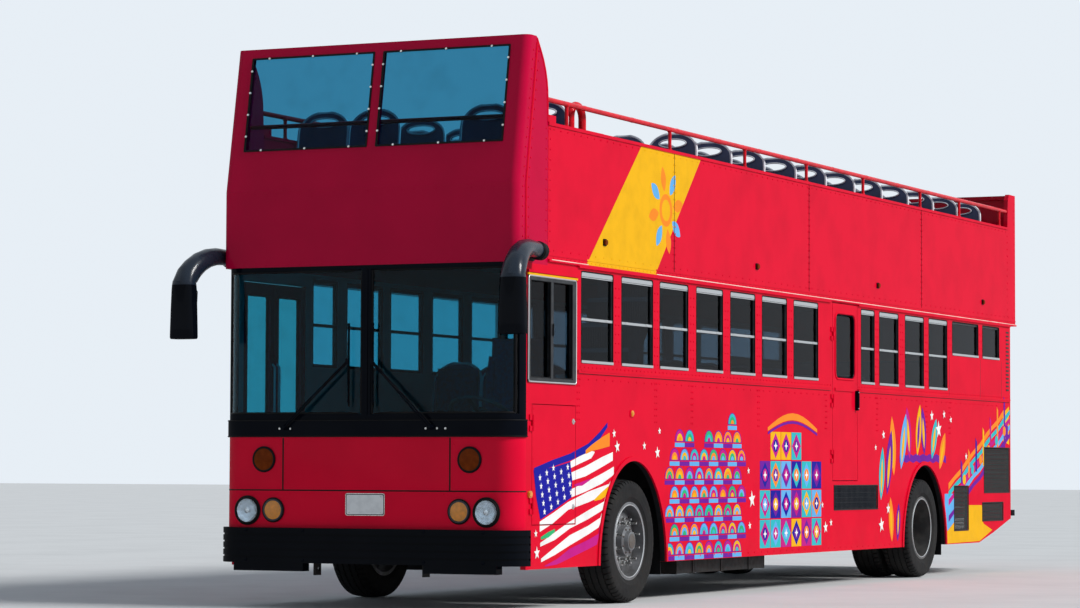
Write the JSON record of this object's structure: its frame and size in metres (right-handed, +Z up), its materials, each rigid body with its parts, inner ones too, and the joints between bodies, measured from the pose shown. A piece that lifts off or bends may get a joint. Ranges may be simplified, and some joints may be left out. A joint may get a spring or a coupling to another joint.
{
  "type": "open top double decker bus",
  "caption": "Open top double decker sightseeing bus with moulded seats on the upper deck, hinged doors and steered front wheels.",
  "frame": {"origin": "centre of the bounding box at ground level", "axes": "+Z up, the front faces -Y, +X is the vehicle's left side"},
  "size_m": [2.962, 12.61, 4.178],
  "materials": {
    "chassis": "matt black",
    "forging": "matt",
    "tyre": "matt",
    "rim": "satin silver",
    "floor": "matt",
    "red_paint": "gloss",
    "black_trim": "satin",
    "tinted_glass": "clear",
    "screen_glass": "clear",
    "sash_aluminium": "satin",
    "red_tube": "gloss",
    "seat_shell": "satin",
    "seat_fabric": "matt",
    "lamp_clear": "clear",
    "lamp_amber": "gloss",
    "lamp_red": "gloss",
    "engine_block": "matt",
    "rubber": "matt"
  },
  "bodies": {
    "bus": {"chassis_frame": "chassis", "chassis_crossmembers": "chassis", "tow_eyes": "chassis", "front_axle": "chassis", "rear_axle": "chassis", "lower_floor": "floor", "floor_boxes": "floor", "front_panel": "red_paint", "windshield_frame": "black_trim", "windshield_glass": "tinted_glass", "side_wall_left": "red_paint", "side_wall_right": "red_paint", "rear_wall": "red_paint", "window_sashes": "sash_aluminium", "window_glass": "tinted_glass", "upper_floor": "floor", "upper_front": "red_paint", "upper_screens": "screen_glass", "upper_side_left": "red_paint", "upper_side_right": "red_paint", "upper_rear": "red_paint", "handrails": "red_tube", "upper_seats": "seat_shell", "upper_seat_backs": "seat_shell", "lower_seats": "seat_fabric", "lower_seat_backs": "seat_fabric", "stair": "floor", "dashboard": "black_trim", "bumpers": "black_trim", "headlamps": "lamp_clear", "amber_lamps": "lamp_amber", "tail_lamps": "lamp_red", "mirrors": "black_trim", "wipers": "black_trim", "engine": "engine_block", "fuel_tank": "chassis", "side_grilles": "black_trim", "mud_flaps": "rubber"},
    "knuckle_left": {"knuckle_left": "forging"},
    "knuckle_right": {"knuckle_right": "forging"},
    "wheel_front_left": {"front_tyre_left": "tyre", "front_rim_left": "rim"},
    "wheel_front_right": {"front_tyre_right": "tyre", "front_rim_right": "rim"},
    "wheels_rear_left": {"rear_tyres_left": "tyre", "rear_rims_left": "rim"},
    "wheels_rear_right": {"rear_tyres_right": "tyre", "rear_rims_right": "rim"},
    "emergency_door": {"emergency_door": "red_paint", "emergency_glass": "tinted_glass"},
    "entry_leaf_front": {"entry_door_front": "red_paint", "entry_glass_front": "tinted_glass"},
    "entry_leaf_rear": {"entry_door_rear": "red_paint", "entry_glass_rear": "tinted_glass"},
    "battery_door": {"battery_door": "red_paint"},
    "engine_door": {"engine_door": "red_paint"}
  },
  "joints": [
    {"name": "steer_left", "type": "hinge", "parent": "bus", "child": "knuckle_left", "pos_m": [0.88, -3.773, 0.475], "axis": [0, 0, 1], "range_deg": [-38, 38]},
    {"name": "steer_right", "type": "hinge", "parent": "bus", "child": "knuckle_right", "pos_m": [-0.88, -3.773, 0.475], "axis": [0, 0, 1], "range_deg": [-38, 38]},
    {"name": "spin_front_left", "type": "hinge", "parent": "knuckle_left", "child": "wheel_front_left", "pos_m": [1.067, -3.773, 0.475], "axis": [1, 0, 0], "continuous": true},
    {"name": "spin_front_right", "type": "hinge", "parent": "knuckle_right", "child": "wheel_front_right", "pos_m": [-1.067, -3.773, 0.475], "axis": [1, 0, 0], "continuous": true},
    {"name": "spin_rear_left", "type": "hinge", "parent": "bus", "child": "wheels_rear_left", "pos_m": [0.907, 3.255, 0.475], "axis": [1, 0, 0], "continuous": true},
    {"name": "spin_rear_right", "type": "hinge", "parent": "bus", "child": "wheels_rear_right", "pos_m": [-0.907, 3.255, 0.475], "axis": [1, 0, 0], "continuous": true},
    {"name": "emergency_door_hinge", "type": "hinge", "parent": "bus", "child": "emergency_door", "pos_m": [1.23, 0.68, 1.733], "axis": [0, 0, -1], "range_deg": [0, 95]},
    {"name": "entry_front_hinge", "type": "hinge", "parent": "bus", "child": "entry_leaf_front", "pos_m": [-1.23, -5.625, 1.385], "axis": [0, 0, 1], "range_deg": [0, 85]},
    {"name": "entry_rear_hinge", "type": "hinge", "parent": "bus", "child": "entry_leaf_rear", "pos_m": [-1.23, -4.675, 1.385], "axis": [0, 0, -1], "range_deg": [0, 85]},
    {"name": "battery_door_hinge", "type": "hinge", "parent": "bus", "child": "battery_door", "pos_m": [1.23, -5.604, 1.06], "axis": [0, 0, -1], "range_deg": [0, 100]},
    {"name": "engine_door_hinge", "type": "hinge", "parent": "bus", "child": "engine_door", "pos_m": [0, 6.205, 1.48], "axis": [1, 0, 0], "range_deg": [0, 75]}
  ],
  "couplings": [
    {"joint": "steer_right", "follows": "steer_left", "ratio": 1},
    {"joint": "entry_rear_hinge", "follows": "entry_front_hinge", "ratio": 1}
  ]
}
